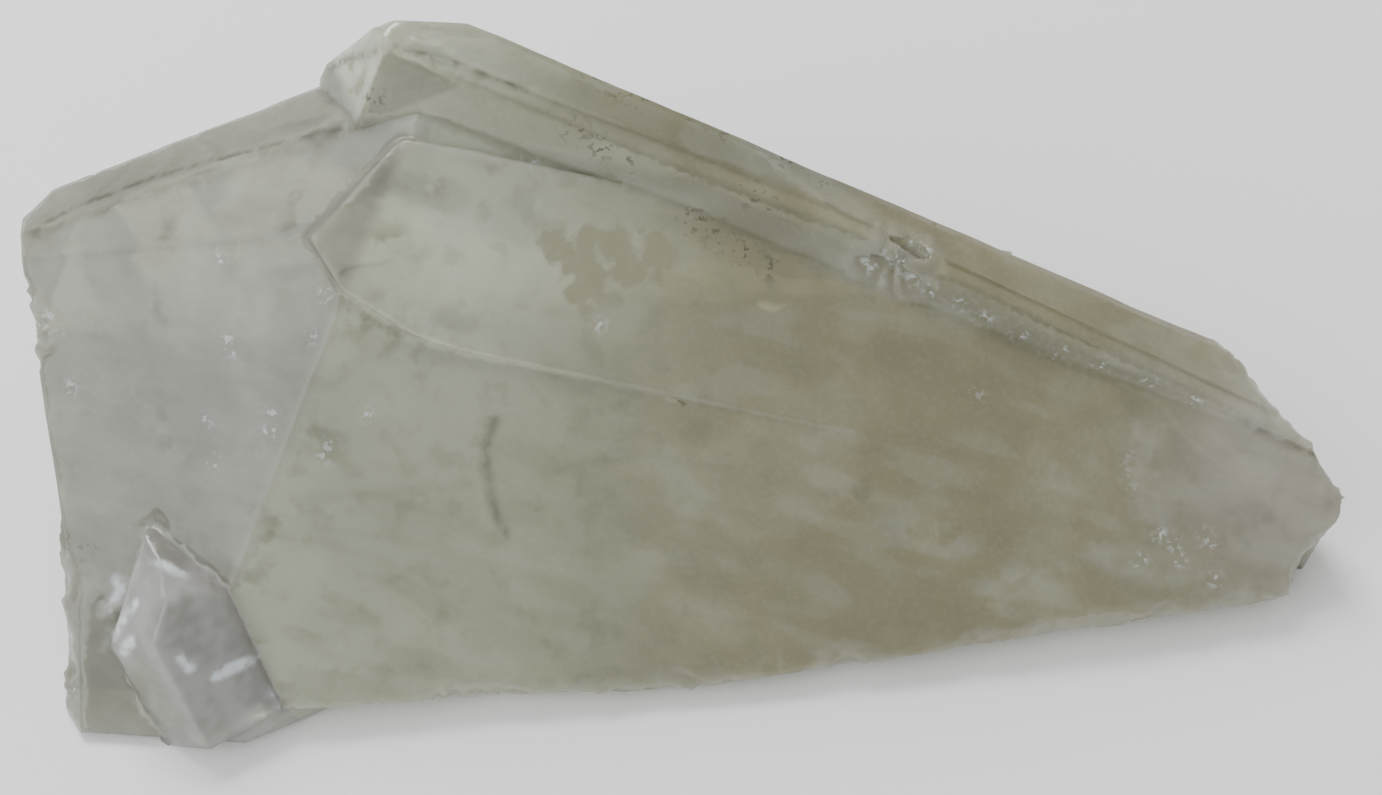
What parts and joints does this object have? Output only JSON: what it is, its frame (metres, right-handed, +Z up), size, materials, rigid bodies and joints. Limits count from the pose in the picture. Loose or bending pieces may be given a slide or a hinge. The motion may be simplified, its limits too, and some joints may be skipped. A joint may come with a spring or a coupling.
{
  "type": "quartz crystal specimen",
  "caption": "Cluster of milky quartz points grown together in parallel, lying on its side, with broad flat faces, a ridged crest and a broken root end.",
  "frame": {"origin": "the middle of the box round the specimen, at the ground it rests on", "axes": "+X from the pointed left end towards the broken root end, the longest way; +Y away from the large show face; +Z up"},
  "size_m": [0.15, 0.0762, 0.0606],
  "materials": {
    "quartz": "milky, half clear natural crystal faces; the small point is clearer"
  },
  "bodies": {
    "root": {"quartz_cluster": "quartz"}
  },
  "joints": []
}
